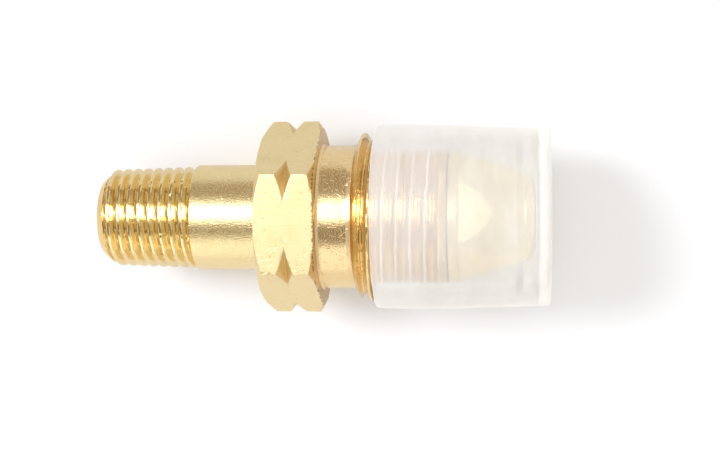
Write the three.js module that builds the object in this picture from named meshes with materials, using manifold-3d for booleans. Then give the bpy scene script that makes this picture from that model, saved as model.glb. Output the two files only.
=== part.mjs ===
// Gas cylinder connector: a nipple with a tapered pipe thread and a bullet nose, a coupling nut
// with a left-hand thread that turns on it, a push-on cap over that thread, and a small
// excess-flow check inside the nose.
//
// The fitting lies along X. The pipe thread points to -X, the nose and the cap to +X, and Z is up,
// with one flat of the coupling nut facing straight up. Lengths are in millimetres, and places
// along the axis are measured from the middle of the whole fitting.

import * as THREE from 'three';
import { mergeVertices } from 'three/addons/utils/BufferGeometryUtils.js';
import Module from 'manifold-3d';

const inch = 25.4;
const overallLength = 59.9;
const pipeEnd = -overallLength / 2;
const capEnd = overallLength / 2;

// Nipple
const pipeThreadLength = 13.0;
const pipeEndRadius = 5.1;
const pipeChamferLength = 1.8;
const pipeChamferRadius = 6.35;
const pipeThreadOverlap = 0.1;
const shankStart = pipeEnd + pipeThreadLength;
const shankRadius = 7.06;
const collarStart = 16.8;
const collarWidth = 1.3;
const collarRadius = 8.95;
const noseStart = collarStart + collarWidth;
const noseTip = 28.05;
const noseFlatsAcross = inch * 9 / 16;
const noseFlatsRoll = THREE.MathUtils.degToRad(-9.6);
const noseRootRadius = 8.22;
const noseBulletLength = 4.45;
const noseConeEndRadius = 5.95;
const noseTipRadius = 3.4;
const noseTipLength = 1.05;
const turnedEdge = 0.15;

// Gas passage and the seat of the excess-flow check
const outletRadius = 2.9;
const outletDepth = 39.5;
const throatRadius = 1.6;
const seatRadius = 2.2;
const seatShoulder = 14.85;
const chamberRadius = 3.0;

// Coupling nut
const nutStart = -7.68;
const nutEnd = 16.7;
const nutFlatsAcross = inch * 7 / 8;
const nutFaceRadius = 11.25;
const hexCornersStart = -6.65;
const hexCornersEnd = -0.65;
const hexShoulder = 0.0;
const hexShoulderRadius = 11.6;
const grooveCentre = -3.7;
const grooveHalfWidth = 1.12;
const grooveDepth = 1.32;
const neckStart = 0.3;
const neckEnd = 3.85;
const neckRadius = 9.57;
const flareEnd = 4.6;
const flareRadius = 9.78;
const nutThreadStart = 5.45;
const nutThreadRadius = 11.23;
const nutChamferLength = 1.05;
const nutNoseRadius = 9.4;
const nutBoreRadius = 7.26;

// Cap
const capMouth = 7.2;
const capWall = 1.75;
const capMouthRadius = 12.12;
const capMouthChamfer = 0.2;
const capBelly = 11.5;
const capBellyRadius = 12.45;
const capTaperStart = 16.75;
const capTaperRadius = 12.15;
const capTaperMiddle = 23.35;
const capTaperMiddleRadius = 11.85;
const capEndRadius = 11.66;
const capEndRounding = 0.5;
const capBoreRadius = 11.42;
const capGripEnd = 17.35;
const capShoulder = 25.45;
const capShoulderLength = 0.95;
const capShoulderRadius = 10.85;
const capPocketRadius = 10.2;
const capPocketRounding = 0.8;

// Excess-flow check: poppet, spring and retainer, in the order that the gas leaves them
const poppetTravel = 2.0;
const poppetStemRadius = 1.9;
const poppetTipRadius = 1.2;
const poppetGuideStart = 20.85;
const poppetGuideEnd = 24.85;
const poppetGuideRadius = 2.75;
const poppetGuideFlat = 1.75;
const poppetOverlap = 0.5;
const retainerStart = 24.95;
const retainerEnd = 26.15;
const retainerRadius = 2.97;
const retainerHoleRadius = 2.15;
const springWireRadius = 0.2;
const springCoilRadius = 2.4;
const springTurns = 5;
const springEndClosing = 0.55;
const springClearance = 0.05;

// Facets around one turn, and steps along each curve of an outline
const roundFacets = 48;
const threadFacets = 32;
const smallFacets = 32;
const curveSteps = 4;

const pipeThread = {
  pitch: inch / 18,
  depth: 0.78,
  crestFlat: 0.38,
  crestRadius: 6.53,
  firstCrest: pipeEnd + 1.92,
  taper: 1 / 32,
  leftHand: false,
};

const nutThread = {
  pitch: inch / 14,
  depth: 0.61 * inch / 14,
  crestFlat: 0.3,
  crestRadius: nutThreadRadius,
  firstCrest: 5.1,
  taper: 0,
  leftHand: true,
};

const wasm = await Module();
wasm.setup();

/** Welds a closed geometry and hands it to manifold-3d as a solid. */
function solidFrom(geometry) {
  const bare = geometry.clone();
  bare.deleteAttribute('normal');
  bare.deleteAttribute('uv');
  const welded = mergeVertices(bare, 1e-4);
  const corners = [];
  for (let i = 0; i < welded.index.count; i += 3) {
    const a = welded.index.getX(i);
    const b = welded.index.getX(i + 1);
    const c = welded.index.getX(i + 2);
    if (a !== b && b !== c && c !== a) corners.push(a, b, c);
  }
  return new wasm.Manifold(new wasm.Mesh({
    numProp: 3,
    vertProperties: welded.attributes.position.array,
    triVerts: new Uint32Array(corners),
  }));
}

/** Turns a finished solid back into a geometry with flat facets. */
function geometryFrom(solid) {
  const { vertProperties, triVerts } = solid.getMesh();
  const geometry = new THREE.BufferGeometry();
  geometry.setAttribute('position', new THREE.BufferAttribute(vertProperties, 3));
  geometry.setIndex(new THREE.BufferAttribute(triVerts, 1));
  const faceted = geometry.toNonIndexed();
  faceted.computeVertexNormals();
  return faceted;
}

/** A shape turned about X. It is drawn with x along the axis and y as the radius. */
function turned(outline, facets = roundFacets) {
  const profile = outline.getPoints(curveSteps).map(({ x, y }) => new THREE.Vector2(y, x));
  const geometry = new THREE.LatheGeometry(profile, facets);
  geometry.rotateZ(-Math.PI / 2);
  return solidFrom(geometry);
}

/** A plain round bar on the axis. */
function roundBar(radius, start, end, facets = roundFacets) {
  const outline = new THREE.Shape();
  outline.moveTo(start, 0);
  outline.lineTo(start, radius);
  outline.lineTo(end, radius);
  outline.lineTo(end, 0);
  return turned(outline, facets);
}

/** A prism along X with its flats at one distance from the axis, the first one facing up. */
function prism(sides, flatDistance, start, end) {
  const cornerRadius = flatDistance / Math.cos(Math.PI / sides);
  const geometry = new THREE.CylinderGeometry(
    cornerRadius, cornerRadius, end - start, sides, 1, false, Math.PI / sides);
  geometry.rotateZ(-Math.PI / 2);
  geometry.translate((start + end) / 2, 0, 0);
  return solidFrom(geometry);
}

/**
 * A bar covered by one helical thread with 60 degree flanks. Each turn has four rows of points:
 * the root, both edges of the crest and the root again. The ends are rough, to be cut away.
 */
function threadedBar(thread, start, end) {
  const { pitch, depth, crestFlat, crestRadius, firstCrest, taper, leftHand } = thread;
  const flankRun = depth * Math.tan(Math.PI / 6);
  const rowOffsets = [-crestFlat / 2 - flankRun, -crestFlat / 2, crestFlat / 2, crestFlat / 2 + flankRun];
  const rowDepths = [depth, 0, 0, depth];
  const rowsPerTurn = rowOffsets.length;
  const firstTurn = Math.floor((start - firstCrest) / pitch) - 1;
  const turns = Math.ceil((end - start) / pitch) + 3;
  const lastStrip = rowsPerTurn * (turns - 1);

  function point(row, column) {
    if (column === threadFacets) return point(row + rowsPerTurn, 0);
    const turn = firstTurn + Math.floor(row / rowsPerTurn) + column / threadFacets;
    const x = firstCrest + turn * pitch + rowOffsets[row % rowsPerTurn];
    const radius = crestRadius + taper * (x - firstCrest) - rowDepths[row % rowsPerTurn];
    const angle = column * 2 * Math.PI / threadFacets;
    const y = radius * Math.sin(angle);
    return new THREE.Vector3(x, leftHand ? y : -y, radius * Math.cos(angle));
  }

  const points = [];
  function face(a, b, c) {
    points.push(a, leftHand ? c : b, leftHand ? b : c);
  }
  for (let row = 0; row < lastStrip; row++) {
    for (let column = 0; column < threadFacets; column++) {
      const a = point(row, column);
      const b = point(row, column + 1);
      const c = point(row + 1, column + 1);
      const d = point(row + 1, column);
      face(a, b, c);
      face(a, c, d);
    }
  }
  for (const [row, inward] of [[0, true], [lastStrip, false]]) {
    const rim = [];
    for (let column = 0; column <= threadFacets; column++) rim.push(point(row, column));
    for (let step = rowsPerTurn - 1; step > 0; step--) rim.push(point(row + step, 0));
    const middle = new THREE.Vector3(rim[0].x, 0, 0);
    rim.forEach((here, i) => {
      const next = rim[(i + 1) % rim.length];
      if (inward) face(middle, next, here);
      else face(middle, here, next);
    });
  }
  return solidFrom(new THREE.BufferGeometry().setFromPoints(points));
}

/** The pipe thread before its thread is cut, with the chamfer at its open end. */
function pipeThreadBlank() {
  const blank = new THREE.Shape();
  blank.moveTo(pipeEnd, 0);
  blank.lineTo(pipeEnd, pipeEndRadius);
  blank.lineTo(pipeEnd + pipeChamferLength, pipeChamferRadius);
  blank.lineTo(pipeEnd + pipeChamferLength, shankRadius);
  blank.lineTo(shankStart + pipeThreadOverlap, shankRadius);
  blank.lineTo(shankStart + pipeThreadOverlap, 0);
  return turned(blank);
}

/** The nipple from its shank to the tip of the bullet nose. */
function shankAndNose() {
  const body = new THREE.Shape();
  body.moveTo(shankStart, 0);
  body.lineTo(shankStart, shankRadius - turnedEdge);
  body.lineTo(shankStart + turnedEdge, shankRadius);
  body.lineTo(collarStart, shankRadius);
  body.lineTo(collarStart, collarRadius - turnedEdge);
  body.lineTo(collarStart + turnedEdge, collarRadius);
  body.lineTo(noseStart - turnedEdge, collarRadius);
  body.lineTo(noseStart, collarRadius - turnedEdge);
  body.lineTo(noseStart, noseRootRadius);
  body.quadraticCurveTo(noseStart + noseBulletLength / 2, noseRootRadius - 2 * turnedEdge,
    noseStart + noseBulletLength, noseFlatsAcross / 2);
  body.lineTo(noseTip - noseTipLength, noseConeEndRadius);
  body.quadraticCurveTo(noseTip, noseConeEndRadius - turnedEdge, noseTip, noseTipRadius);
  body.lineTo(noseTip, 0);
  return turned(body);
}

/** What is milled off the nose to leave six wrench flats. */
function offTheNoseFlats() {
  const reach = collarRadius + 1;
  const sleeve = roundBar(reach, noseStart, noseTip + 1);
  return sleeve.subtract(prism(6, noseFlatsAcross / 2, noseStart - 1, noseTip + 2));
}

/** The gas passage: outlet drilling, throat, conical seat and the chamber of the check. */
function passage() {
  const outletEnd = pipeEnd + outletDepth;
  const seatStart = seatShoulder - (seatRadius - throatRadius);
  const bore = new THREE.Shape();
  bore.moveTo(pipeEnd - 1, 0);
  bore.lineTo(pipeEnd - 1, outletRadius);
  bore.lineTo(outletEnd, outletRadius);
  bore.lineTo(outletEnd + outletRadius - throatRadius, throatRadius);
  bore.lineTo(seatStart, throatRadius);
  bore.lineTo(seatShoulder, seatRadius);
  bore.lineTo(seatShoulder, chamberRadius);
  bore.lineTo(noseTip + 1, chamberRadius);
  bore.lineTo(noseTip + 1, 0);
  return turned(bore, smallFacets);
}

function nipple() {
  const thread = threadedBar(pipeThread, pipeEnd, shankStart).intersect(pipeThreadBlank());
  return thread.add(shankAndNose()).subtract(offTheNoseFlats()).subtract(passage());
}

/** The six-sided end of the nut, with its corner chamfers and the groove of a left-hand thread. */
function hexEnd() {
  const cornerRadius = nutFlatsAcross / Math.sqrt(3);
  const blank = new THREE.Shape();
  blank.moveTo(nutStart, 0);
  blank.lineTo(nutStart, nutFaceRadius);
  blank.lineTo(hexCornersStart, cornerRadius);
  blank.lineTo(grooveCentre - grooveHalfWidth, cornerRadius);
  blank.lineTo(grooveCentre, cornerRadius - grooveDepth);
  blank.lineTo(grooveCentre + grooveHalfWidth, cornerRadius);
  blank.lineTo(hexCornersEnd, cornerRadius);
  blank.lineTo(hexShoulder, hexShoulderRadius);
  blank.lineTo(hexShoulder, neckRadius + turnedEdge);
  blank.lineTo(neckStart, neckRadius);
  blank.lineTo(neckStart, 0);
  return turned(blank).intersect(prism(6, nutFlatsAcross / 2, nutStart - 1, neckStart + 1));
}

/** The neck of the nut and its threaded barrel before the thread is cut. */
function barrelBlank() {
  const blank = new THREE.Shape();
  blank.moveTo(hexCornersEnd, 0);
  blank.lineTo(hexCornersEnd, neckRadius);
  blank.lineTo(neckEnd, neckRadius);
  blank.lineTo(flareEnd, flareRadius);
  blank.lineTo(nutThreadStart, nutThreadRadius + turnedEdge);
  blank.lineTo(nutEnd - nutChamferLength, nutThreadRadius + turnedEdge);
  blank.lineTo(nutEnd, nutNoseRadius);
  blank.lineTo(nutEnd, 0);
  return turned(blank);
}

function couplingNut() {
  const barrel = threadedBar(nutThread, hexCornersEnd, nutEnd).intersect(barrelBlank());
  const bore = roundBar(nutBoreRadius, nutStart - 1, nutEnd + 1);
  return hexEnd().add(barrel).subtract(bore);
}

/** The cap is one moulded cup with a thick corner, a slight belly and a tapering far half. */
function protectiveCap() {
  const wall = new THREE.Shape();
  wall.moveTo(capMouth, capBoreRadius + capMouthChamfer);
  wall.lineTo(capMouth, capMouthRadius);
  wall.quadraticCurveTo(capBelly, capBellyRadius, capTaperStart, capTaperRadius);
  wall.quadraticCurveTo(capTaperMiddle, capTaperMiddleRadius, capEnd - capEndRounding, capEndRadius);
  wall.quadraticCurveTo(capEnd, capEndRadius, capEnd, capEndRadius - capEndRounding);
  wall.lineTo(capEnd, 0);
  wall.lineTo(capEnd - capWall, 0);
  wall.lineTo(capEnd - capWall, capPocketRadius - capPocketRounding);
  wall.quadraticCurveTo(capEnd - capWall, capPocketRadius,
    capShoulder + capShoulderLength, capPocketRadius);
  wall.lineTo(capShoulder, capShoulderRadius);
  wall.lineTo(capGripEnd, capBoreRadius);
  wall.lineTo(capMouth + 2 * capMouthChamfer, capBoreRadius);
  wall.closePath();
  return turned(wall);
}

/** A stem with a conical tip, and a three-sided guide that lets the gas pass. */
function poppet() {
  const tipRise = poppetStemRadius - poppetTipRadius;
  const coneEnd = seatShoulder - seatRadius + poppetStemRadius + poppetTravel + springClearance;
  const stem = new THREE.Shape();
  stem.moveTo(coneEnd - tipRise, 0);
  stem.lineTo(coneEnd - tipRise, poppetTipRadius);
  stem.lineTo(coneEnd, poppetStemRadius);
  stem.lineTo(poppetGuideStart + poppetOverlap, poppetStemRadius);
  stem.lineTo(poppetGuideStart + poppetOverlap, 0);
  const guide = roundBar(poppetGuideRadius, poppetGuideStart, poppetGuideEnd, smallFacets)
    .intersect(prism(3, poppetGuideFlat, poppetGuideStart - 1, poppetGuideEnd + 1));
  return guide.add(turned(stem, smallFacets));
}

/** A pressed-in ring that keeps the poppet in its chamber. */
function retainer() {
  const ring = new THREE.Shape();
  ring.moveTo(retainerStart, retainerHoleRadius);
  ring.lineTo(retainerStart, retainerRadius);
  ring.lineTo(retainerEnd, retainerRadius);
  ring.lineTo(retainerEnd, retainerHoleRadius);
  ring.closePath();
  return turned(ring, smallFacets);
}

/** The centre line of the spring, with its end coils closed up. */
class SpringLine extends THREE.Curve {
  getPoint(t, target = new THREE.Vector3()) {
    const start = seatShoulder + springClearance + springWireRadius;
    const end = poppetGuideStart - springClearance - springWireRadius;
    const endCoils = springEndClosing * Math.sin(2 * Math.PI * t) / (2 * Math.PI);
    const angle = 2 * Math.PI * springTurns * t;
    const x = start + (end - start) * (t - endCoils);
    return target.set(x, springCoilRadius * Math.sin(angle), springCoilRadius * Math.cos(angle));
  }
}

function spring() {
  const section = new THREE.Shape();
  section.absarc(0, 0, springWireRadius, 0, 2 * Math.PI);
  const geometry = new THREE.ExtrudeGeometry(section, {
    steps: springTurns * 14,
    curveSegments: 3,
    extrudePath: new SpringLine(),
  });
  return solidFrom(geometry);
}

/** A machined brass finish. */
function brass(color) {
  return new THREE.MeshStandardMaterial({ color, roughness: 0.3, metalness: 1 });
}

const springSteel = new THREE.MeshStandardMaterial({ color: 0xb8bcc0, roughness: 0.25, metalness: 1 });

const cloudyPlastic = new THREE.MeshStandardMaterial({
  color: 0xf1efe8,
  roughness: 0.4,
  metalness: 0,
  transparent: true,
  opacity: 0.5,
});

function piece(name, solid, material) {
  const mesh = new THREE.Mesh(geometryFrom(solid), material);
  mesh.name = name;
  return mesh;
}

const connector = new THREE.Group();

const nipplePiece = piece('nipple', nipple(), brass(0xdcbd6a));
nipplePiece.rotation.x = noseFlatsRoll;
connector.add(nipplePiece);

connector.add(piece('coupling_nut', couplingNut(), brass(0xe3c877)));
connector.add(piece('protective_cap', protectiveCap(), cloudyPlastic));
connector.add(piece('check_poppet', poppet(), brass(0xd0ad58)));
connector.add(piece('check_spring', spring(), springSteel));
connector.add(piece('check_retainer', retainer(), brass(0xd0ad58)));

export default connector;
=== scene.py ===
"""Looks of a gas cylinder connector: brass nipple and coupling nut, cloudy thread cap, excess-flow check.

Every piece but the spring is a fine mesh swept round the X axis, which is the fitting's own axis.
Sizes are in millimetres and become metres when a mesh is made. Angles run from +Z (up) towards +Y.
"""

import math

import bpy
import numpy as np
from mathutils import Matrix, Vector


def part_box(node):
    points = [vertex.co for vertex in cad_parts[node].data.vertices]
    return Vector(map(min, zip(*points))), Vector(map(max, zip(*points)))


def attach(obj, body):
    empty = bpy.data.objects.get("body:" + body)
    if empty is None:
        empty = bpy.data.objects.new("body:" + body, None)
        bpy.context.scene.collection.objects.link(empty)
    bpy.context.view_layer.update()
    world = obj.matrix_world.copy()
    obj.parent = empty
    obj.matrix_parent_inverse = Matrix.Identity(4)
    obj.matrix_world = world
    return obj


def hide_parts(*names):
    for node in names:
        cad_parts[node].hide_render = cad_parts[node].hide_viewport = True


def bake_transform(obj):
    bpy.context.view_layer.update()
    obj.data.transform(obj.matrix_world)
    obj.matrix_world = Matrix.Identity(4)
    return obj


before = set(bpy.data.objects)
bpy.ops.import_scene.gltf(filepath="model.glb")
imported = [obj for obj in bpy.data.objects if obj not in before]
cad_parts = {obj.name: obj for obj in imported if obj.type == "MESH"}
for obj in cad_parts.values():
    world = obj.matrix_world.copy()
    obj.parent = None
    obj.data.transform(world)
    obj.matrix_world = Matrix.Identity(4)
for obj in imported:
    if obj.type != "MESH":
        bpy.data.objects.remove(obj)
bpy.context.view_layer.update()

MM = 0.001
INCH = 25.4
TURN = 2 * math.pi


def box_mm(node):
    """Lowest and highest corner of a CAD node, in millimetres."""
    low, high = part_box(node)
    return low / MM, high / MM


nipple_low, nipple_high = box_mm("nipple")
nut_low, nut_high = box_mm("coupling_nut")
cap_low, cap_high = box_mm("protective_cap")
poppet_low, poppet_high = box_mm("check_poppet")
ring_low, ring_high = box_mm("check_retainer")
spring_low, spring_high = box_mm("check_spring")

# Nipple
PIPE_END = nipple_low.x
PIPE_END_RADIUS = 5.1
PIPE_CHAMFER = 1.5
PIPE_CHAMFER_RADIUS = 6.35
PIPE_THREAD_LENGTH = 13.0
SHANK_START = PIPE_END + PIPE_THREAD_LENGTH
SHANK_RADIUS = 7.06
COLLAR_RADIUS = nipple_high.z
COLLAR_WIDTH = 1.3
COLLAR_GAP = 0.1
COLLAR_START = nut_high.x + COLLAR_GAP
NOSE_START = COLLAR_START + COLLAR_WIDTH
NOSE_TIP = nipple_high.x
NOSE_ROOT_RADIUS = 8.22
NOSE_BULLET_LENGTH = 4.45
NOSE_CONE_RADIUS = 5.95
NOSE_TIP_RADIUS = 3.4
NOSE_TIP_LENGTH = 1.05
NOSE_FLAT = INCH * 9 / 32
NOSE_ROLL = math.radians(9.6)
OUTLET_RADIUS = 2.9
OUTLET_END = PIPE_END + 39.5
THROAT_RADIUS = 1.6
SEAT_RADIUS = 2.2
SEAT_SHOULDER = 14.85
CHAMBER_RADIUS = 3.0

# Coupling nut
NUT_START = nut_low.x
NUT_END = nut_high.x
NUT_FLAT = INCH * 7 / 16
NUT_CORNER = NUT_FLAT / math.cos(math.pi / 6)
NUT_FACE_RADIUS = 11.25
CORNERS_START = -6.65
CORNERS_END = -0.65
SHOULDER = 0.0
SHOULDER_RADIUS = 11.6
GROOVE_CENTRE = -3.7
GROOVE_HALF_WIDTH = 1.12
GROOVE_DEPTH = 1.32
NECK_START = 0.3
NECK_END = 3.85
NECK_RADIUS = 9.57
FLARE_END = 4.6
FLARE_RADIUS = 9.78
NUT_THREAD_START = 5.45
NUT_THREAD_RADIUS = 11.23
NUT_CHAMFER = 1.05
NUT_NOSE_RADIUS = 9.4
NUT_BORE = 7.26

# Cap
CAP_MOUTH = cap_low.x
CAP_END = cap_high.x
CAP_WALL = 1.75
CAP_MOUTH_RADIUS = 12.12
CAP_BELLY_RADIUS = cap_high.z
CAP_END_RADIUS = 11.66
CAP_BORE = 11.42
CAP_SHOULDER = 25.45
CAP_TAPER_START = 16.75
CAP_TAPER_RADIUS = 12.15
CAP_GRIP_END = 17.35
CAP_SHOULDER_RADIUS = 10.85
CAP_POCKET_RADIUS = 10.2

# Nicks in the pipe thread: place along the axis, angle in degrees, size, depth
NICKS = [
    (-28.7, 58, 0.34, 0.3), (-28.5, 66, 0.22, 0.3), (-28.8, 44, 0.2, 0.2), (-18.65, 57, 0.26, 0.4),
    (-18.45, 63, 0.2, 0.3), (-25.5, -49, 0.24, 0.35), (-21.3, -52, 0.3, 0.5), (-21.1, -56, 0.2, 0.4),
    (-17.3, -22, 0.16, 0.3), (-17.35, -29, 0.16, 0.3), (-17.4, -36, 0.14, 0.3), (-19.7, 30, 0.2, 0.25),
]

PIPE_THREAD = {
    "pitch": INCH / 18,
    "depth": 0.84,
    "crest_flat": 0.38,
    "crest_radius": 6.53,
    "first_crest": PIPE_END + 1.92,
    "taper": 1 / 32,
    "turns_towards": -1,
}
NUT_THREAD = {
    "pitch": INCH / 14,
    "depth": 0.61 * INCH / 14,
    "crest_flat": 0.3,
    "crest_radius": NUT_THREAD_RADIUS,
    "first_crest": 5.1,
    "taper": 0.0,
    "turns_towards": 1,
}


# ---------------------------------------------------------------- shape tools

def soft_min(a, b, radius):
    """The smaller of two values, with the corner between them rounded."""
    near = np.maximum(radius - np.abs(a - b), 0) / radius
    return np.minimum(a, b) - near * near * radius / 4


def soft_max(a, b, radius):
    """The larger of two values, with the corner between them rounded."""
    return -soft_min(-a, -b, radius)


def dapple(seed, x, angle, length, cells_round):
    """Smooth random values from 0 to 1 over a turned surface. One cell is length mm long."""
    cells_along = 256
    lattice = np.random.default_rng(seed).random((cells_along, cells_round))
    u = x / length + cells_along / 2
    v = (angle / TURN * cells_round) % cells_round
    i = np.floor(u).astype(int)
    j = np.floor(v).astype(int)
    s = u - i
    t = v - j
    s = s * s * (3 - 2 * s)
    t = t * t * (3 - 2 * t)
    i0 = i % cells_along
    i1 = (i + 1) % cells_along
    j0 = j % cells_round
    j1 = (j + 1) % cells_round
    low = lattice[i0, j0] * (1 - s) + lattice[i1, j0] * s
    high = lattice[i0, j1] * (1 - s) + lattice[i1, j1] * s
    return low * (1 - t) + high * t


def towards(start, goal, distance):
    """The point this far from start on the way to goal."""
    way = goal - start
    return start + way / np.linalg.norm(way) * distance


def chain(corners):
    """Points along a chain of corners (x, radius, rounding, step).

    Each corner is rounded by cutting it back by its rounding. The stretch after a corner gets
    points no further apart than that corner's step.
    """
    arc_steps = 4
    places = np.array([corner[:2] for corner in corners], float)
    last = len(corners) - 1
    points = []
    for i, (_, _, rounding, step) in enumerate(corners):
        here = places[i]
        if 0 < i < last and rounding > 0:
            start = towards(here, places[i - 1], rounding)
            end = towards(here, places[i + 1], rounding)
            for t in np.linspace(0, 1, arc_steps + 1):
                points.append((start * (1 - t) + here * t) * (1 - t) + (here * (1 - t) + end * t) * t)
        else:
            points.append(here)
        if i < last:
            latest = points[-1]
            reach = towards(places[i + 1], here, corners[i + 1][2]) - latest
            count = max(1, math.ceil(np.linalg.norm(reach) / step))
            for k in range(1, count):
                points.append(latest + reach * k / count)
    return np.array(points)


def even_columns(count):
    """Angles evenly spaced round one turn."""
    return np.arange(count) * TURN / count


def six_sided_columns(per_side, roll=0.0, crowding=0.85):
    """Angles round a hexagon with a flat at the top, closer together at the corners."""
    u = np.arange(per_side) / per_side
    warped = u - crowding * np.sin(TURN * u) / TURN
    side = math.pi / 3
    return np.concatenate([(k - 0.5 + warped) * side for k in range(6)]) + roll


def flats_limit(angle, distance, sides, roll, rounding):
    """Radius of a prism's surface. The first flat faces roll, measured like the angle."""
    sector = TURN / sides
    from_flat = np.abs((angle - roll + sector / 2) % sector - sector / 2)
    this_flat = distance / np.cos(from_flat)
    next_flat = distance / np.cos(sector - from_flat)
    return soft_min(this_flat, np.abs(next_flat), rounding)


def thread_limit(x, angle, thread):
    """Radius of a 60 degree helical thread with a narrow rounded crest and a rounded root."""
    turns = (x - thread["first_crest"]) / thread["pitch"] - thread["turns_towards"] * angle / TURN
    from_crest = np.abs(turns - np.round(turns)) * thread["pitch"]
    slope = math.sqrt(3)
    depth = soft_max((from_crest - thread["crest_flat"] / 2) * slope, 0.0, 0.08)
    depth = soft_min(depth, thread["depth"], 0.2)
    crest = thread["crest_radius"] + thread["taper"] * (x - thread["first_crest"])
    return crest - depth


def side_faces(n_rows, n_columns, closed):
    """Faces from each row to the following one, and from the last to the first if closed."""
    faces = []
    for i in range(n_rows if closed else n_rows - 1):
        here = i * n_columns
        following = (i + 1) % n_rows * n_columns
        for j in range(n_columns):
            k = (j + 1) % n_columns
            faces.append((here + j, following + j, following + k, here + k))
    return faces


def pole_faces(n_rows, n_columns):
    """Faces from the first and the last row to two points on the axis, which follow the rows."""
    first_pole = n_rows * n_columns
    top = (n_rows - 1) * n_columns
    faces = []
    for j in range(n_columns):
        k = (j + 1) % n_columns
        faces.append((first_pole, j, k))
        faces.append((first_pole + 1, top + k, top + j))
    return faces


def sweep(name, rows, columns, material, shape=None):
    """A closed mesh made by sweeping rows of (x, radius) round the axis.

    Rows either form a loop or start and end on the axis. shape(x, radius, angle) may move
    points: it gets arrays of rows by columns and returns new x and radius.
    """
    on_axis = rows[0][1] < 1e-6
    if on_axis:
        rows = rows[1:-1]
    x = np.repeat(rows[:, :1], len(columns), axis=1)
    radius = np.repeat(rows[:, 1:], len(columns), axis=1)
    angle = np.repeat(columns[None, :], len(rows), axis=0)
    poles = [(x[0, 0], 0, 0), (x[-1, 0], 0, 0)]
    if shape:
        x, radius = shape(x, radius, angle)
    points = np.stack([x, radius * np.sin(angle), radius * np.cos(angle)], axis=-1).reshape(-1, 3)
    faces = side_faces(*x.shape, closed=not on_axis)
    if on_axis:
        points = np.vstack([points, poles])
        faces += pole_faces(*x.shape)
    return make_object(name, points, faces, material)


def make_object(name, points, faces, material):
    """A mesh object from points in millimetres, smooth apart from its sharp edges."""
    sharp_angle = 38
    mesh = bpy.data.meshes.new(name)
    mesh.from_pydata([tuple(p) for p in points * MM], [], faces)
    mesh.polygons.foreach_set("use_smooth", [True] * len(mesh.polygons))
    mesh.set_sharp_from_angle(angle=math.radians(sharp_angle))
    mesh.materials.append(material)
    mesh.update()
    made = bpy.data.objects.new(name, mesh)
    bpy.context.scene.collection.objects.link(made)
    return made


# ---------------------------------------------------------------- materials

class Tree:
    """Shorthand for building the node tree of a material or of the world."""

    def __init__(self, owner, output):
        owner.use_nodes = True
        self.tree = owner.node_tree
        self.tree.nodes.clear()
        self.output = self.add(output)

    def add(self, kind, inputs=None, **settings):
        node = self.tree.nodes.new(kind)
        for key, value in settings.items():
            setattr(node, key, value)
        for key, value in (inputs or {}).items():
            self.set(node.inputs[key], value)
        return node

    def set(self, socket, value):
        if isinstance(value, bpy.types.NodeSocket):
            self.tree.links.new(value, socket)
        else:
            socket.default_value = value

    def math(self, operation, *values, clamp=False):
        node = self.add("ShaderNodeMath", dict(enumerate(values)), operation=operation, use_clamp=clamp)
        return node.outputs[0]

    def plus(self, a, b, clamp=False):
        return self.math("ADD", a, b, clamp=clamp)

    def minus(self, a, b):
        return self.math("SUBTRACT", a, b)

    def times(self, a, b):
        return self.math("MULTIPLY", a, b)

    def highest(self, a, b):
        return self.math("MAXIMUM", a, b)

    def span(self, value, low, high, to_low=0.0, to_high=1.0):
        """Maps low..high to to_low..to_high, smoothly and clamped."""
        return self.add("ShaderNodeMapRange", {
            "Value": value,
            "From Min": low,
            "From Max": high,
            "To Min": to_low,
            "To Max": to_high,
        }, interpolation_type="SMOOTHSTEP").outputs[0]

    def mix(self, factor, a, b):
        """A colour between a, at factor 0, and b, at factor 1."""
        node = self.add("ShaderNodeMix", data_type="RGBA")
        self.set(node.inputs[0], factor)
        self.set(node.inputs[6], a)
        self.set(node.inputs[7], b)
        return node.outputs[2]

    def mix_shaders(self, factor, a, b):
        """A shader between a, at factor 0, and b, at factor 1."""
        node = self.add("ShaderNodeMixShader", {0: factor})
        self.set(node.inputs[1], a)
        self.set(node.inputs[2], b)
        return node.outputs[0]

    def split(self, vector):
        """The X, Y and Z of a vector, by name."""
        return self.add("ShaderNodeSeparateXYZ", {0: vector}).outputs

    def ray_is(self, kind):
        """1 for a ray of this kind, such as Glossy or Camera, and 0 for any other."""
        return self.add("ShaderNodeLightPath").outputs[f"Is {kind} Ray"]

    def link_output(self, shader):
        self.tree.links.new(shader, self.output.inputs["Surface"])


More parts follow.
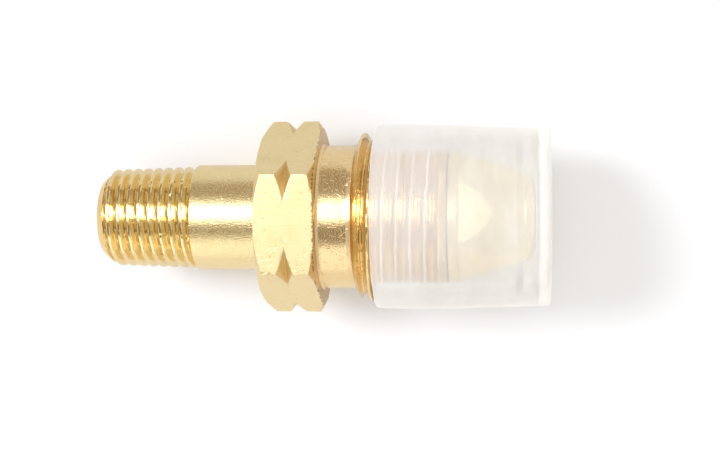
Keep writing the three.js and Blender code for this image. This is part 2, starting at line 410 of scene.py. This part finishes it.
class Nodes(Tree):
    """The node tree of one material, with patterns laid out by place on the fitting."""

    def __init__(self, name):
        self.material = bpy.data.materials.new(name)
        super().__init__(self.material, "ShaderNodeOutputMaterial")
        self.place = self.add("ShaderNodeTexCoord").outputs["Object"]

    def noise(self, scale, detail=2.0, stretch=(1, 1, 1), roughness=0.5, turn=0.0):
        """Noise whose features are about 1 / scale millimetres across, times the stretch.

        The stretch runs along the axes after a turn, in degrees, about Z.
        """
        turned = self.add("ShaderNodeMapping", {
            "Vector": self.place,
            "Rotation": (0, 0, math.radians(turn)),
        })
        vector = self.add("ShaderNodeMapping", {
            "Vector": turned.outputs[0],
            "Scale": [scale / MM / s for s in stretch],
        })
        return self.add("ShaderNodeTexNoise", {
            "Vector": vector.outputs[0],
            "Scale": 1.0,
            "Detail": detail,
            "Roughness": roughness,
        }).outputs[0]

    def hairlines(self, scale, width, stretch, turn, share):
        """Thin wandering lines, 1 on a line and 0 elsewhere. About this share of them is kept."""
        field = self.noise(scale, detail=1.0, stretch=stretch, turn=turn)
        away = self.math("ABSOLUTE", self.minus(field, 0.5))
        line = self.span(away, 0.0, width, 1.0, 0.0)
        patch = self.noise(scale * 0.9, detail=1.0, turn=turn + 70)
        kept = self.span(patch, 0.64 - 0.28 * share, 0.70 - 0.28 * share)
        return self.times(line, kept)

    def along(self, start, end):
        """0 before start and 1 after end, by place along the axis in millimetres.

        With start after end it is the other way round: 1 before end and 0 after start.
        """
        return self.span(self.split(self.place)["X"], start * MM, end * MM)

    def band(self, start, full_start, full_end, end):
        """1 from full_start to full_end along the axis, fading to 0 at start and at end."""
        return self.times(self.along(start, full_start), self.along(end, full_end))

    def depth_below(self, radius, fade):
        """0 at this radius from the axis and 1 where the surface is fade mm nearer to it."""
        parts = self.split(self.place)
        across = self.add("ShaderNodeCombineXYZ", {1: parts["Y"], 2: parts["Z"]}).outputs[0]
        reach = self.add("ShaderNodeVectorMath", {0: across}, operation="LENGTH").outputs["Value"]
        return self.span(reach, (radius - fade) * MM, radius * MM, 1.0, 0.0)

    def facing_x(self):
        """The surface's direction along the axis: 1 facing the cap's closed end, -1 facing the pipe end."""
        return self.split(self.add("ShaderNodeNewGeometry").outputs["Normal"])["X"]

    def bump(self, height, distance_mm, normal=None):
        """Small relief as high as this distance, on top of an earlier bump's normal if one is given."""
        inputs = {"Height": height, "Distance": distance_mm * MM, "Strength": 1.0}
        if normal:
            inputs["Normal"] = normal
        return self.add("ShaderNodeBump", inputs).outputs[0]

    def finish(self, shader):
        self.link_output(shader)
        return self.material


def shade(tint, red, green, blue):
    """A tint with its red, green and blue scaled, as an opaque colour."""
    return [tint[0] * red, tint[1] * green, tint[2] * blue, 1]


def brass_shader(n, colour, rough, normal):
    """Ends a brass material's tree and returns the material."""
    shader = n.add("ShaderNodeBsdfPrincipled", {
        "Base Color": colour,
        "Metallic": 1.0,
        "Roughness": rough,
        "Normal": normal,
    })
    return n.finish(shader.outputs[0])


def turning_grain(n):
    """The sandy grain that the turning tool leaves."""
    return n.noise(4.4, detail=1.0, stretch=(0.7, 1, 1), roughness=0.6)


def painted(n, tint, layers):
    """The tint, with a shade of it mixed in for each layer: a mask and shares of red, green and blue."""
    colour = tint + [1]
    for mask, shares in layers:
        colour = n.mix(mask, colour, shade(tint, *shares))
    return colour


def turned_brass(name, tint, roughness):
    """Bright turned brass: a sandy grain that sparkles, faint tool rings, stains, dark specks and painted
    shade in the thread's grooves.
    """
    n = Nodes(name)
    shank = n.band(SHANK_START - 0.1, SHANK_START, COLLAR_START - 0.3, COLLAR_START)
    collar = n.band(COLLAR_START - 0.3, COLLAR_START, NOSE_START, NOSE_START + 0.01)
    # Painted shade: the pipe thread's grooves are painted a deeper, darker brass.
    groove_shade = n.times(n.depth_below(6.4, 0.5), n.along(SHANK_START, SHANK_START - 0.3))
    fine = n.noise(5.5)
    rings = n.noise(7.0, stretch=(1, 60, 60))
    stains = n.noise(0.3, detail=4.0)
    specks = n.span(n.noise(2.6, detail=1.0), 0.74, 0.78)
    colour = painted(n, tint, [
        (n.span(stains, 0.45, 0.75, 0.0, 0.5), (0.93, 0.88, 0.78)),
        (n.span(fine, 0.4, 0.65, 0.0, 0.4), (0.84, 0.78, 0.66)),
        # painted shade in the thread's grooves
        (n.times(groove_shade, 0.3), (0.94, 0.76, 0.5)),
        (n.times(specks, 0.55), (0.35, 0.28, 0.2)),
    ])
    grain = n.times(turning_grain(n), n.span(shank, 0.0, 1.0, 0.2, 1.15))
    normal = n.bump(rings, 0.003, n.bump(grain, 0.035))
    satin = n.highest(n.times(collar, 0.4), n.times(shank, 0.25))
    return brass_shader(n, colour, n.highest(satin, roughness), normal)


def drawn_brass(name, tint, roughness):
    """The nut: drawn lines and scratches on its hexagon, sandy turned brass on its barrel.

    Its thread and the faces towards the cap are painted deeper in colour, as painted shade, and dark dots
    follow the hexagon's edge at its shoulder: painted shade in the nicks of its burr, and dirt.
    """
    n = Nodes(name)
    facing_cap = n.facing_x()
    barrel = n.along(SHOULDER - 0.05, SHOULDER + 0.1)
    hexagon = n.minus(1.0, barrel)
    neck = n.times(barrel, n.along(NECK_END, NECK_END - 0.1))
    # Painted shade: the grooves of the nut's thread are painted a deeper, darker brass.
    thread = n.times(n.depth_below(NUT_THREAD_RADIUS - 0.1, 0.5), n.along(NECK_END, FLARE_END))
    # Painted shade: faces of the hexagon and shoulder that face the cap are painted darker.
    shade_towards_cap = n.times(n.span(facing_cap, 0.3, 0.6), n.along(NECK_START + 0.3, NECK_START))
    # Dark dots along the shoulder edge: painted shade in the nicks of the burr, and dirt.
    shoulder_edge = n.band(SHOULDER - 0.22, SHOULDER - 0.08, SHOULDER, SHOULDER + 0.08)
    burr_shade_and_dirt = n.times(shoulder_edge, n.span(facing_cap, 0.92, 0.97, 1.0, 0.0))
    dots = n.span(n.noise(2.6, detail=1.0), 0.5, 0.54)
    fine = n.noise(5.5)
    stains = n.noise(0.28, detail=4.0)
    drawn = n.noise(2.4, detail=4.0, stretch=(45, 1, 1), roughness=0.65)
    lines = n.times(n.span(drawn, 0.60, 0.68), hexagon)
    pits = n.span(n.noise(1.9, detail=1.0), 0.76, 0.80)
    scratches = n.hairlines(0.9, 0.014, (5, 1, 1), 55, 0.5)
    for turn, share in ((-35, 0.4), (8, 0.5)):
        scratches = n.highest(scratches, n.hairlines(1.1, 0.014, (6, 1, 1), turn, share))
    colour = painted(n, tint, [
        (n.span(stains, 0.45, 0.75, 0.0, 0.5), (0.93, 0.87, 0.76)),
        (n.span(fine, 0.35, 0.7, 0.0, 0.22), (0.84, 0.78, 0.66)),
        (n.times(barrel, 0.25), (0.95, 0.7, 0.52)),
        (n.times(thread, 0.2), (0.85, 0.66, 0.46)),
        (n.times(shade_towards_cap, 0.6), (0.76, 0.58, 0.38)),
        (n.times(lines, 0.22), (0.7, 0.62, 0.5)),
        (n.times(scratches, 0.3), (0.72, 0.62, 0.5)),
        (n.times(pits, 0.5), (0.4, 0.32, 0.22)),
        (n.times(burr_shade_and_dirt, dots), (0.35, 0.2, 0.1)),
    ])
    grain = n.times(turning_grain(n), n.span(neck, 0.0, 1.0, 0.1, 0.6))
    normal = n.bump(n.times(drawn, hexagon), 0.004, n.bump(grain, 0.035))
    normal = n.bump(n.times(scratches, -1.0), 0.008, normal)
    satin = n.highest(n.times(hexagon, 0.37), n.times(neck, 0.15))
    return brass_shader(n, colour, n.highest(satin, roughness), normal)


def spring_steel():
    """Drawn stainless wire with a faint grain."""
    n = Nodes("spring_steel")
    drawn = n.noise(6.0)
    shader = n.add("ShaderNodeBsdfPrincipled", {
        "Base Color": n.mix(drawn, [0.62, 0.63, 0.65, 1], [0.76, 0.77, 0.79, 1]),
        "Metallic": 1.0,
        "Roughness": n.span(drawn, 0.3, 0.7, 0.18, 0.32),
        "Normal": n.bump(drawn, 0.002),
    })
    return n.finish(shader.outputs[0])


def stretch_marks(n):
    """White lines in the plastic: where the thread's crests press into it, and along its inner step."""
    parts = n.split(n.place)
    angle = n.math("ARCTAN2", parts["Y"], parts["Z"])
    from_first = n.minus(parts["X"], NUT_THREAD["first_crest"] * MM)
    pitches = n.math("DIVIDE", from_first, NUT_THREAD["pitch"] * MM)
    turns = n.minus(pitches, n.math("DIVIDE", angle, TURN))
    wander = n.noise(0.3, detail=4.0)
    turns = n.plus(turns, n.span(wander, 0.2, 0.8, -0.09, 0.09))
    from_crest = n.math("ABSOLUTE", n.minus(turns, n.math("ROUND", turns)))
    line = n.span(from_crest, 0.0, 0.13, 1.0, 0.0)
    patchy = n.span(n.noise(0.5, detail=2.0, stretch=(0.5, 3, 3)), 0.35, 0.62, 0.15, 1.0)
    on_thread = n.times(n.along(NUT_END - 0.5, NUT_END - 1.0), patchy)
    step = n.band(CAP_SHOULDER - 0.2, CAP_SHOULDER, CAP_SHOULDER, CAP_SHOULDER + 0.3)
    marks = n.highest(n.times(line, on_thread), n.times(step, 0.5))
    return n.times(marks, n.depth_below(CAP_BORE + 0.15, 0.1))


def cloudy_plastic():
    """Soft polyethylene: part of the light passes straight, the rest scatters in the cloudy wall.

    The end wall is seen edge on, so it is whiter. A little emission stands for the light that
    scatters inside the wall many times. Brass mirrors the cap a little clearer than it is.
    """
    n = Nodes("cap_plastic")
    face_on = 0.34
    edge_on = 0.85
    share_in_brass = 0.35
    cloud = n.noise(0.25, detail=3.0, stretch=(1, 3.5, 3.5))
    skin = n.noise(2.0, detail=3.0, stretch=(1, 3, 3))
    facing = n.add("ShaderNodeLayerWeight", {"Blend": 0.5}).outputs["Facing"]
    end_wall = n.along(CAP_END - CAP_WALL, CAP_END - CAP_WALL + 0.5)
    veil = n.plus(n.span(facing, 0.2, 0.95, face_on, edge_on), n.span(cloud, 0.3, 0.7, -0.04, 0.05))
    veil = n.plus(veil, n.times(end_wall, 0.35))
    veil = n.plus(veil, n.times(stretch_marks(n), 0.4), clamp=True)
    veil = n.times(veil, n.span(n.ray_is("Glossy"), 0.0, 1.0, 1.0, share_in_brass))
    white = n.mix(cloud, [0.955, 0.94, 0.905, 1], [0.98, 0.97, 0.945, 1])
    normal = n.bump(skin, 0.02)
    body = n.add("ShaderNodeBsdfDiffuse", {"Color": white, "Normal": normal}).outputs[0]
    through = n.add("ShaderNodeBsdfTranslucent", {"Color": white, "Normal": normal}).outputs[0]
    glow = n.add("ShaderNodeEmission", {"Color": white, "Strength": 0.2}).outputs[0]
    scatter = n.add("ShaderNodeAddShader", {0: n.mix_shaders(0.2, body, through), 1: glow}).outputs[0]
    clear = n.add("ShaderNodeBsdfTransparent", {"Color": [0.97, 0.97, 0.965, 1]}).outputs[0]
    gloss = n.add("ShaderNodeBsdfGlossy", {
        "Roughness": 0.4,
        "Color": [1, 1, 1, 1],
        "Normal": normal,
    }).outputs[0]
    sheen = n.add("ShaderNodeFresnel", {"IOR": 1.3, "Normal": normal}).outputs[0]
    return n.finish(n.mix_shaders(sheen, n.mix_shaders(veil, clear, scatter), gloss))


def table_white():
    """White paper. Brass mirrors it a little greyer than the camera sees it from above, and greyer still
    towards +Y, a painted shade.
    """
    n = Nodes("table_white")
    mottle = n.noise(0.02, detail=3.0)
    paper = n.mix(mottle, [0.935, 0.935, 0.935, 1], [0.955, 0.955, 0.953, 1])
    # Painted shade: in what brass mirrors, the table is darker towards +Y.
    shaded_far_side = n.span(n.split(n.place)["Y"], 0.0, 20 * MM)
    mirrored = n.mix(shaded_far_side, [0.82, 0.81, 0.79, 1], [0.71, 0.71, 0.70, 1])
    shader = n.add("ShaderNodeBsdfDiffuse", {"Color": n.mix(n.ray_is("Glossy"), paper, mirrored)})
    return n.finish(shader.outputs[0])


# ---------------------------------------------------------------- pieces

def stand_in(made, node, body):
    """Shows a piece in place of its CAD node, moving with that node's body."""
    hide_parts(node)
    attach(made, body)


def nipple_rows():
    """The nipple's outline: outside from the pipe end to the tip, then back along the passage."""
    edge = 0.12
    stock = SHANK_RADIUS
    bullet_end = NOSE_START + NOSE_BULLET_LENGTH
    cone_end = NOSE_TIP - NOSE_TIP_LENGTH
    outside = chain([
        (PIPE_END, OUTLET_RADIUS + 0.25, 0, 0.4),
        (PIPE_END, PIPE_END_RADIUS, 0.15, 0.09),
        (PIPE_END + PIPE_CHAMFER, PIPE_CHAMFER_RADIUS, 0.1, 0.09),
        (PIPE_END + PIPE_CHAMFER + 0.15, stock, 0, 0.075),
        (SHANK_START, stock, 0, 0.02),
        (SHANK_START + 0.02, SHANK_RADIUS, 0, 0.6),
        (COLLAR_START, SHANK_RADIUS, 0.1, 0.3),
        (COLLAR_START, COLLAR_RADIUS, edge, 0.3),
        (NOSE_START, COLLAR_RADIUS, edge, 0.15),
        (NOSE_START, NOSE_ROOT_RADIUS, 0, 0.02),
        (NOSE_START + 0.02, NOSE_ROOT_RADIUS, 0, 0.1),
    ])
    t = np.linspace(0.02, 1, 40)[:, None]
    belly = NOSE_ROOT_RADIUS - 0.3
    bullet = ((1 - t) ** 2 * [NOSE_START, NOSE_ROOT_RADIUS]
              + 2 * t * (1 - t) * [NOSE_START + NOSE_BULLET_LENGTH / 2, belly]
              + t ** 2 * [bullet_end, NOSE_FLAT])
    tip = chain([
        (bullet_end + 0.05, NOSE_FLAT - 0.012, 0, 0.15),
        (cone_end, NOSE_CONE_RADIUS, 0.3, 0.1),
        (NOSE_TIP, NOSE_CONE_RADIUS - 1.1, 1.0, 0.1),
        (NOSE_TIP, NOSE_TIP_RADIUS, 0.1, 0.1),
        (NOSE_TIP - 0.1, CHAMBER_RADIUS, 0, 0.5),
        (SEAT_SHOULDER, CHAMBER_RADIUS, 0, 0.4),
        (SEAT_SHOULDER, SEAT_RADIUS, 0.05, 0.3),
        (SEAT_SHOULDER - SEAT_RADIUS + THROAT_RADIUS, THROAT_RADIUS, 0.1, 0.8),
        (OUTLET_END + OUTLET_RADIUS - THROAT_RADIUS, THROAT_RADIUS, 0.1, 0.6),
        (OUTLET_END, OUTLET_RADIUS, 0.2, 1.5),
        (PIPE_END + 0.25, OUTLET_RADIUS, 0, 0.4),
    ])
    return np.vstack([outside, bullet, tip])


def nipple_shape(x, radius, angle):
    """Cuts the pipe thread, with its nicks, and the flats on the nose."""
    outside = radius > OUTLET_RADIUS + 0.6
    threaded = outside & (x < SHANK_START)
    rough = dapple(11, x, angle, 0.5, 90)
    burr = 0.05 * np.maximum(rough - 0.72, 0) / 0.28
    for place, degrees, size, depth in NICKS:
        off_round = (angle - math.radians(degrees) + math.pi) % TURN - math.pi
        away = ((x - place) / size) ** 2 + (off_round * PIPE_CHAMFER_RADIUS / size) ** 2
        burr = burr + depth * np.exp(-3 * away)
    cut = thread_limit(x, angle, PIPE_THREAD) - burr
    radius = np.where(threaded, soft_min(radius, cut, 0.06), radius)
    on_nose = outside & (x > NOSE_START + 0.01)
    flats = flats_limit(angle, NOSE_FLAT, 6, NOSE_ROLL, 0.1)
    radius = np.where(on_nose, soft_min(radius, flats, 0.06), radius)
    return x, radius


def build_nipple():
    brass = turned_brass("nipple_brass", [0.9, 0.735, 0.4], 0.13)
    made = sweep("nipple_body", nipple_rows(), six_sided_columns(44, NOSE_ROLL, 0.5), brass, nipple_shape)
    stand_in(made, "nipple", "nipple")


def nut_rows():
    """The nut's outline: hexagon, neck, flare and thread along the outside, then back through the bore."""
    stock = NUT_THREAD_RADIUS + 0.15
    fine = 0.09
    return chain([
        (NUT_START, NUT_BORE + 0.3, 0.1, 0.5),
        (NUT_START, NUT_FACE_RADIUS, 0.05, fine),
        (CORNERS_START, NUT_CORNER, 0.04, fine),
        (GROOVE_CENTRE - GROOVE_HALF_WIDTH, NUT_CORNER, 0.04, fine),
        (GROOVE_CENTRE, NUT_CORNER - GROOVE_DEPTH, 0.05, fine),
        (GROOVE_CENTRE + GROOVE_HALF_WIDTH, NUT_CORNER, 0.04, fine),
        (CORNERS_END, NUT_CORNER, 0.04, fine),
        (SHOULDER, SHOULDER_RADIUS, 0.05, fine),
        (SHOULDER, NECK_RADIUS + 0.15, 0.1, fine),
        (NECK_START, NECK_RADIUS, 0.1, 0.2),
        (NECK_END, NECK_RADIUS, 0.15, 0.08),
        (FLARE_END, FLARE_RADIUS, 0.1, 0.08),
        (NUT_THREAD_START, stock, 0.05, 0.09),
        (NUT_END - NUT_CHAMFER, stock, 0.1, 0.12),
        (NUT_END, NUT_NOSE_RADIUS, 0.12, 0.4),
        (NUT_END, NUT_BORE + 0.3, 0, 0.4),
        (NUT_END - 0.3, NUT_BORE, 0, 1.5),
        (NUT_START + 0.3, NUT_BORE, 0, 0.4),
    ])


def nut_shape(x, radius, angle):
    """Cuts the hexagon's flats and the thread, both a little nicked along their edges."""
    outside = radius > NUT_BORE + 0.7
    hexagon = outside & (x < SHOULDER + 0.01)
    flats = flats_limit(angle, NUT_FLAT, 6, 0.0, 0.05)
    near_edge = np.exp(-((radius - flats) / 0.2) ** 2)
    nicks = np.maximum(dapple(21, x, angle, 0.35, 220) - 0.62, 0)
    rough_edge = np.where(x > CORNERS_END - 0.3, 0.5, 0.12)
    burr = rough_edge * near_edge * nicks
    radius = np.where(hexagon, soft_min(radius, flats, 0.04) - burr, radius)
    threaded = outside & (x > NECK_END - 0.5)
    cut = thread_limit(x, angle, NUT_THREAD) - 0.2 * nicks
    radius = np.where(threaded, soft_min(radius, cut, 0.05), radius)
    return x, radius


def build_nut():
    brass = drawn_brass("nut_brass", [0.89, 0.73, 0.41], 0.14)
    made = sweep("nut_body", nut_rows(), six_sided_columns(60), brass, nut_shape)
    stand_in(made, "coupling_nut", "nut")


def cap_rows():
    """The cap's outline: from the middle of its end wall, out along the bore and back outside."""
    return chain([
        (CAP_END - CAP_WALL, 0, 0, 0.8),
        (CAP_END - CAP_WALL, CAP_POCKET_RADIUS, 0.8, 0.2),
        (CAP_SHOULDER + 0.95, CAP_POCKET_RADIUS, 0.1, 0.15),
        (CAP_SHOULDER, CAP_SHOULDER_RADIUS, 0.1, 0.5),
        (CAP_GRIP_END, CAP_BORE, 1.0, 0.5),
        (CAP_MOUTH + 0.4, CAP_BORE, 0, 0.2),
        (CAP_MOUTH, CAP_BORE + 0.2, 0.08, 0.12),
        (CAP_MOUTH, CAP_MOUTH_RADIUS, 0.2, 0.2),
        (CAP_MOUTH + 3.0, CAP_BELLY_RADIUS - 0.02, 2.0, 0.3),
        (CAP_TAPER_START, CAP_TAPER_RADIUS, 3.0, 0.4),
        (CAP_END, CAP_END_RADIUS, 0.5, 0.5),
        (CAP_END, 4.0, 0, 0.8),
        (CAP_END, 0, 0, 0.4),
    ])


def cap_shape(x, radius, angle):
    """Uneven wall of a soft moulding, and a small lip at the top of its mouth."""
    outer = radius > CAP_BORE + 0.1
    waves = dapple(31, x, angle, 3.5, 7) - 0.5
    mouth = np.exp(-(x - CAP_MOUTH) / 1.2)
    lip = np.exp(-((angle % TURN - math.radians(78)) / 0.12) ** 2)
    swell = np.where(outer, 0.09 * waves + 0.12 * mouth * lip, 0.02 * waves)
    ragged = (dapple(32, x, angle, 50, 40) - 0.5) * 0.12 * np.exp(-(x - CAP_MOUTH) / 0.4)
    inside_box = np.minimum(radius + swell, CAP_BELLY_RADIUS + 0.12)
    return x + np.maximum(ragged, 0), inside_box


def build_cap():
    made = sweep("cap_body", cap_rows(), even_columns(192), cloudy_plastic(), cap_shape)
    stand_in(made, "protective_cap", "cap")


def build_poppet():
    """The check's poppet: a coned tip, a stem and a three-sided guide. Returns its brass."""
    stem = 1.9
    tip = 1.2
    guide_start = 20.85
    guide = 2.75
    guide_flat = 1.75
    start = poppet_low.x
    end = poppet_high.x
    rows = chain([
        (start, 0, 0, 0.3),
        (start, tip, 0.08, 0.1),
        (start + stem - tip, stem, 0.1, 0.5),
        (guide_start, stem, 0, 0.2),
        (guide_start, guide, 0.12, 0.15),
        (end, guide, 0.2, 0.15),
        (end, 0.0, 0, 0.2),
    ])

    def shape(x, radius, angle):
        flats = flats_limit(angle, guide_flat, 3, 0.0, 0.1)
        guided = (x > guide_start - 0.001) & (radius > stem)
        return x, np.where(guided, np.maximum(soft_min(radius, flats, 0.08), stem), radius)

    brass = turned_brass("check_brass", [0.86, 0.69, 0.36], 0.2)
    made = sweep("poppet_body", rows, even_columns(96), brass, shape)
    stand_in(made, "check_poppet", "poppet")
    return brass


def build_retainer(brass):
    """The ring pressed into the nose behind the poppet."""
    outer = ring_high.y
    hole = 2.15
    bevel = 0.15
    start = ring_low.x
    end = ring_high.x
    rows = chain([
        (start, hole + bevel, 0, 0.2),
        (start, outer, 0.08, 0.2),
        (end, outer, 0.15, 0.2),
        (end, hole + bevel, 0, 0.1),
        (end - bevel, hole, 0, 0.3),
        (start + bevel, hole, 0, 0.1),
    ])
    made = sweep("retainer_ring", rows, even_columns(96), brass)
    stand_in(made, "check_retainer", "nipple")


def build_spring():
    """Wire swept along a helix whose end coils close up."""
    wire = 0.2
    coil = 2.4
    turns = 5
    end_closing = 0.55
    steps = turns * 40
    around = 12
    start = spring_low.x + wire
    end = spring_high.x - wire
    t = np.linspace(0, 1, steps + 1)
    angle = TURN * turns * t
    x = start + (end - start) * (t - end_closing * np.sin(TURN * t) / TURN)
    line = np.stack([x, coil * np.sin(angle), coil * np.cos(angle)], axis=-1)
    along = np.gradient(line, axis=0)
    along /= np.linalg.norm(along, axis=1, keepdims=True)
    out = np.stack([np.zeros_like(x), np.sin(angle), np.cos(angle)], axis=-1)
    side = np.cross(along, out)
    side /= np.linalg.norm(side, axis=1, keepdims=True)
    ring = even_columns(around)
    points = (line[:, None, :]
              + wire * np.cos(ring)[None, :, None] * out[:, None, :]
              + wire * np.sin(ring)[None, :, None] * side[:, None, :]).reshape(-1, 3)
    faces = []
    for i in range(steps):
        for j in range(around):
            k = (j + 1) % around
            faces.append((i * around + j, i * around + k, (i + 1) * around + k, (i + 1) * around + j))
    faces.append(tuple(range(around))[::-1])
    faces.append(tuple(range(steps * around, (steps + 1) * around)))
    made = make_object("spring_wire", points, faces, spring_steel())
    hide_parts("check_spring")
    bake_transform(made)


# ---------------------------------------------------------------- studio

TABLE_SLOPE = math.radians(3.3)
TABLE_SIZE = 4.0
TABLE_DEPTH = NUT_FLAT + 0.02
TABLE_TOUCH = NUT_START

CAMERA_YAW = math.radians(6.67)
CAMERA_PITCH = math.radians(-5.5)
CAMERA_TARGET = (4.74, -1.60, 0.0)
CAMERA_DISTANCE = 180.24
CAMERA_LENS = 67.3


def build_table():
    """A large flat table. It slopes a little, because the cap is wider than the nut it lies beside."""
    half = TABLE_SIZE / 2 / MM
    corners = np.array([(-half, -half, 0), (half, -half, 0), (half, half, 0), (-half, half, 0)])
    made = make_object("table_top", corners, [(0, 1, 2, 3)], table_white())
    made.rotation_euler = (0, TABLE_SLOPE, 0)
    made.location = (TABLE_TOUCH * MM, 0, -TABLE_DEPTH * MM)


def mirrored_room(n, direction):
    """What brass mirrors: brightness by angle round the fitting's axis, from +Z (0) towards +Y.

    A soft box hangs overhead, with warm dark walls on both sides of it and a paler wall low on
    the near side. Past the ends of the box, along X, the walls are an even pale grey.
    """
    stops = [
        (-180, 0.9), (-90, 1.3), (-46, 1.5), (-36, 0.30), (-10, 0.28), (-4, 0.85), (3, 3.7),
        (28, 3.7), (35, 0.8), (45, 0.37), (84, 0.37), (92, 0.72), (125, 0.72), (180, 0.9),
    ]
    brightest = 4.0
    warm_below = 0.76
    warm = (1.0, 0.80, 0.58)
    ends_level = 0.75
    left_end = (-0.62, -0.45)
    right_end = (-0.02, -0.13)
    angle = n.math("ARCTAN2", direction["Y"], direction["Z"])
    ramp = n.add("ShaderNodeValToRGB", {0: n.math("MULTIPLY_ADD", angle, 1 / TURN, 0.5)})
    points = ramp.color_ramp.elements
    while len(points) < len(stops):
        points.new(0.5)
    for point, (degrees, level) in zip(points, stops):
        point.position = degrees / 360 + 0.5
        tint = warm if level < warm_below else (1, 1, 1)
        point.color = [level / brightest * c for c in tint] + [1]
    within = n.times(n.span(direction["X"], *left_end), n.span(direction["X"], *right_end))
    colour = n.mix(within, [ends_level / brightest] * 3 + [1], ramp.outputs[0])
    return n.add("ShaderNodeBackground", {"Color": colour, "Strength": brightest}).outputs[0]


def fill_sky(n, direction):
    """What lights the plastic and the table: a plain sky, warm low down, brighter and cool overhead."""
    low_level = 0.48
    added_overhead = 0.82
    height = n.math("POWER", direction["Z"], 2.0)
    return n.add("ShaderNodeBackground", {
        "Color": n.mix(height, [1.0, 0.92, 0.70, 1], [1.0, 1.02, 1.14, 1]),
        "Strength": n.math("MULTIPLY_ADD", height, added_overhead, low_level),
    }).outputs[0]


def build_world():
    """The studio: a room for brass to mirror, a fill sky, and a white backdrop for the camera."""
    world = bpy.data.worlds.new("studio")
    bpy.context.scene.world = world
    n = Tree(world, "ShaderNodeOutputWorld")
    direction = n.split(n.add("ShaderNodeTexCoord").outputs["Generated"])
    backdrop = n.add("ShaderNodeBackground", {"Color": (1, 1, 1, 1), "Strength": 1.0}).outputs[0]
    unseen = n.mix_shaders(n.ray_is("Glossy"), fill_sky(n, direction), mirrored_room(n, direction))
    n.link_output(n.mix_shaders(n.ray_is("Camera"), unseen, backdrop))


def build_key_light():
    """A broad lamp high on the left, which gives the soft shadow on the right of the cap."""
    lamp = bpy.data.lights.new("key", "SUN")
    lamp.angle = math.radians(25)
    lamp.energy = 1.5
    lamp.color = (0.95, 1.0, 1.12)
    holder = bpy.data.objects.new("key", lamp)
    bpy.context.scene.collection.objects.link(holder)
    holder.location = (-1.05, 0.42, 1.25)
    aim = Vector((0, 0, 0)) - holder.location
    holder.rotation_euler = aim.to_track_quat("-Z", "Y").to_euler()


def build_camera():
    data = bpy.data.cameras.new("camera")
    data.lens = CAMERA_LENS
    data.sensor_width = 36
    data.clip_start = 0.01
    data.clip_end = 20
    camera = bpy.data.objects.new("camera", data)
    bpy.context.scene.collection.objects.link(camera)
    turn = Matrix.Rotation(CAMERA_PITCH, 4, "X") @ Matrix.Rotation(CAMERA_YAW, 4, "Y")
    back = turn @ Vector((0, 0, 1))
    place = Vector(CAMERA_TARGET) * MM + back * CAMERA_DISTANCE * MM
    camera.matrix_world = Matrix.Translation(place) @ turn
    bpy.context.scene.camera = camera


def build_studio():
    build_table()
    build_world()
    build_key_light()
    build_camera()
    scene = bpy.context.scene
    scene.view_settings.view_transform = "Standard"
    scene.view_settings.look = "None"
    scene.cycles.max_bounces = 24
    scene.cycles.glossy_bounces = 12
    scene.cycles.transparent_max_bounces = 24


build_nipple()
build_nut()
build_cap()
check_brass = build_poppet()
build_retainer(check_brass)
build_spring()
build_studio()
